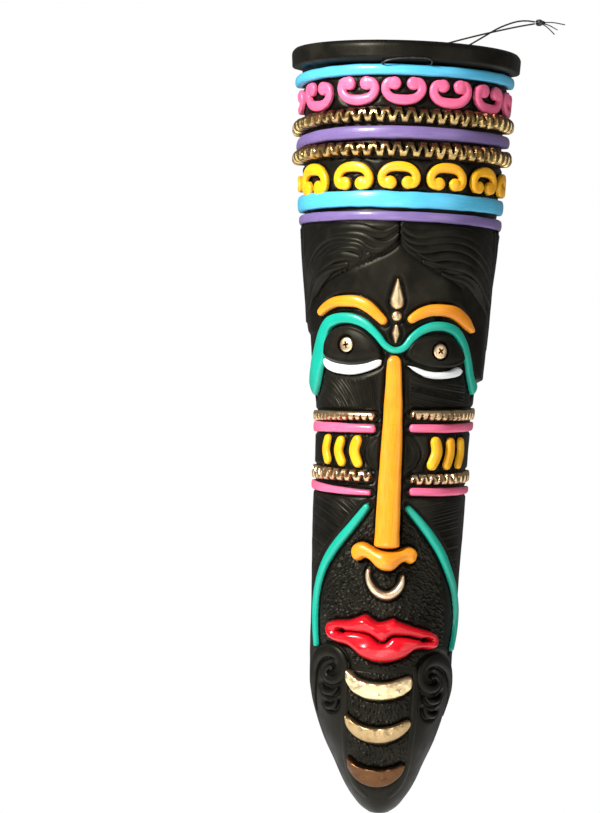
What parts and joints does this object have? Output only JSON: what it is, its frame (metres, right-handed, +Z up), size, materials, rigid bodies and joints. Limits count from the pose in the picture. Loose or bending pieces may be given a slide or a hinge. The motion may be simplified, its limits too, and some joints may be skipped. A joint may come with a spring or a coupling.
{
  "type": "terracotta wall mask",
  "caption": "Tall half-round terracotta wall mask with a modelled, painted face, open at the back and top, hung by a nylon line through holes under its rim.",
  "frame": {"origin": "on the chin's flat back at the middle, 12 mm above the chin's tip, where the mask meets the wall", "axes": "+X to the viewer's right, +Y into the wall, +Z up along the mask's length; the face looks along -Y"},
  "size_m": [0.1629, 0.0707, 0.477],
  "materials": {
    "painted_terracotta": "satin black enamel over fired clay, with ornaments in bright enamel and gold paint; bare red clay inside",
    "brass": "bright plated screw head",
    "nylon_line": "black nylon line"
  },
  "bodies": {
    "root": {"mask_shell": "painted_terracotta", "left_pupil_screw": "brass", "right_pupil_screw": "brass", "hanging_line_front": "nylon_line", "hanging_line_left": "nylon_line", "hanging_line_right": "nylon_line", "line_knot": "nylon_line"}
  },
  "joints": []
}
